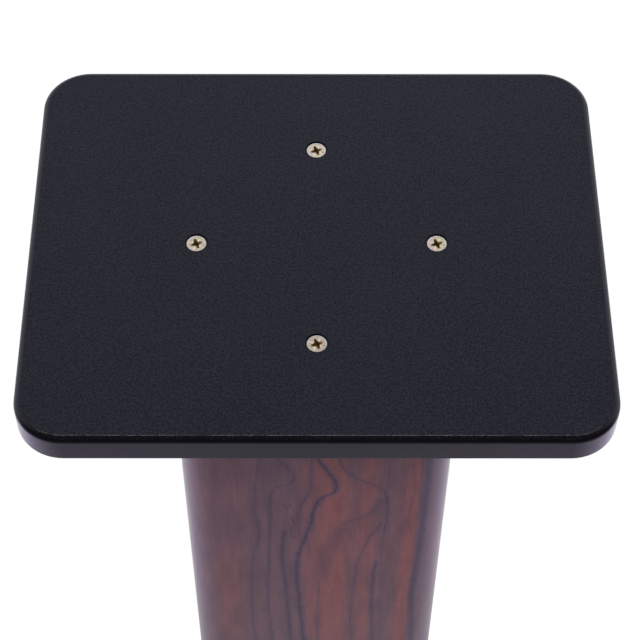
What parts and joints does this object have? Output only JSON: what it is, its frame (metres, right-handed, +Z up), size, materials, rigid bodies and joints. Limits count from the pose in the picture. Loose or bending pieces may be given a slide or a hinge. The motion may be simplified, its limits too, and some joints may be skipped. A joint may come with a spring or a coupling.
{
  "type": "speaker stand",
  "caption": "Floor stand for a bookshelf speaker: black plates with rounded edges on a square, round-cornered rosewood-grain column, on levelling spikes.",
  "frame": {"origin": "on the floor under the middle of the column, with the feet screwed out", "axes": "+Z up along the column, +X to the right seen from the speaker's front, +Y to the back"},
  "size_m": [0.3, 0.25, 0.9126],
  "materials": {
    "black_grain_film": "fine leather-like grain, low sheen",
    "black_board": "fibreboard with smooth satin black edges and back",
    "bare_board": "plain fibreboard",
    "rosewood_film": "satin printed wood grain, dark veins along the column",
    "yellow_zinc": "yellow zinc plate",
    "foot_steel": "satin nickel plate",
    "black_rubber": "matt"
  },
  "bodies": {
    "stand": {"top_plate_board": "black_board", "top_plate_film": "black_grain_film", "base_plate_board": "black_board", "base_plate_film": "black_grain_film", "column_wrap": "rosewood_film", "column_board_front": "bare_board", "column_board_right": "bare_board", "column_board_back": "bare_board", "column_board_left": "bare_board", "top_plate_screw_front": "yellow_zinc", "top_plate_screw_right": "yellow_zinc", "top_plate_screw_back": "yellow_zinc", "top_plate_screw_left": "yellow_zinc", "base_plate_screw_front": "yellow_zinc", "base_plate_screw_right": "yellow_zinc", "base_plate_screw_back": "yellow_zinc", "base_plate_screw_left": "yellow_zinc", "foot_insert_front_left": "yellow_zinc", "foot_insert_front_right": "yellow_zinc", "foot_insert_back_right": "yellow_zinc", "foot_insert_back_left": "yellow_zinc", "foot_nut_front_left": "foot_steel", "foot_nut_front_right": "foot_steel", "foot_nut_back_right": "foot_steel", "foot_nut_back_left": "foot_steel"},
    "cup_front_left": {"foot_cup_front_left": "black_rubber"},
    "spike_front_left": {"foot_spike_front_left": "foot_steel"},
    "cup_front_right": {"foot_cup_front_right": "black_rubber"},
    "spike_front_right": {"foot_spike_front_right": "foot_steel"},
    "cup_back_right": {"foot_cup_back_right": "black_rubber"},
    "spike_back_right": {"foot_spike_back_right": "foot_steel"},
    "cup_back_left": {"foot_cup_back_left": "black_rubber"},
    "spike_back_left": {"foot_spike_back_left": "foot_steel"}
  },
  "joints": [
    {"name": "foot_height_front_left", "type": "slide", "parent": "stand", "child": "cup_front_left", "axis": [0, 0, -1], "range_m": [-0.006, 0]},
    {"name": "spike_turn_front_left", "type": "hinge", "parent": "cup_front_left", "child": "spike_front_left", "pos_m": [-0.118, -0.093, 0.02], "axis": [0, 0, -1], "range_deg": [-2160, 0]},
    {"name": "foot_height_front_right", "type": "slide", "parent": "stand", "child": "cup_front_right", "axis": [0, 0, -1], "range_m": [-0.006, 0]},
    {"name": "spike_turn_front_right", "type": "hinge", "parent": "cup_front_right", "child": "spike_front_right", "pos_m": [0.118, -0.093, 0.02], "axis": [0, 0, -1], "range_deg": [-2160, 0]},
    {"name": "foot_height_back_right", "type": "slide", "parent": "stand", "child": "cup_back_right", "axis": [0, 0, -1], "range_m": [-0.006, 0]},
    {"name": "spike_turn_back_right", "type": "hinge", "parent": "cup_back_right", "child": "spike_back_right", "pos_m": [0.118, 0.093, 0.02], "axis": [0, 0, -1], "range_deg": [-2160, 0]},
    {"name": "foot_height_back_left", "type": "slide", "parent": "stand", "child": "cup_back_left", "axis": [0, 0, -1], "range_m": [-0.006, 0]},
    {"name": "spike_turn_back_left", "type": "hinge", "parent": "cup_back_left", "child": "spike_back_left", "pos_m": [-0.118, 0.093, 0.02], "axis": [0, 0, -1], "range_deg": [-2160, 0]}
  ],
  "couplings": [
    {"joint": "foot_height_front_left", "follows": "spike_turn_front_left", "m_per_rad": 0.00015915},
    {"joint": "foot_height_front_right", "follows": "spike_turn_front_right", "m_per_rad": 0.00015915},
    {"joint": "foot_height_back_right", "follows": "spike_turn_back_right", "m_per_rad": 0.00015915},
    {"joint": "foot_height_back_left", "follows": "spike_turn_back_left", "m_per_rad": 0.00015915}
  ]
}
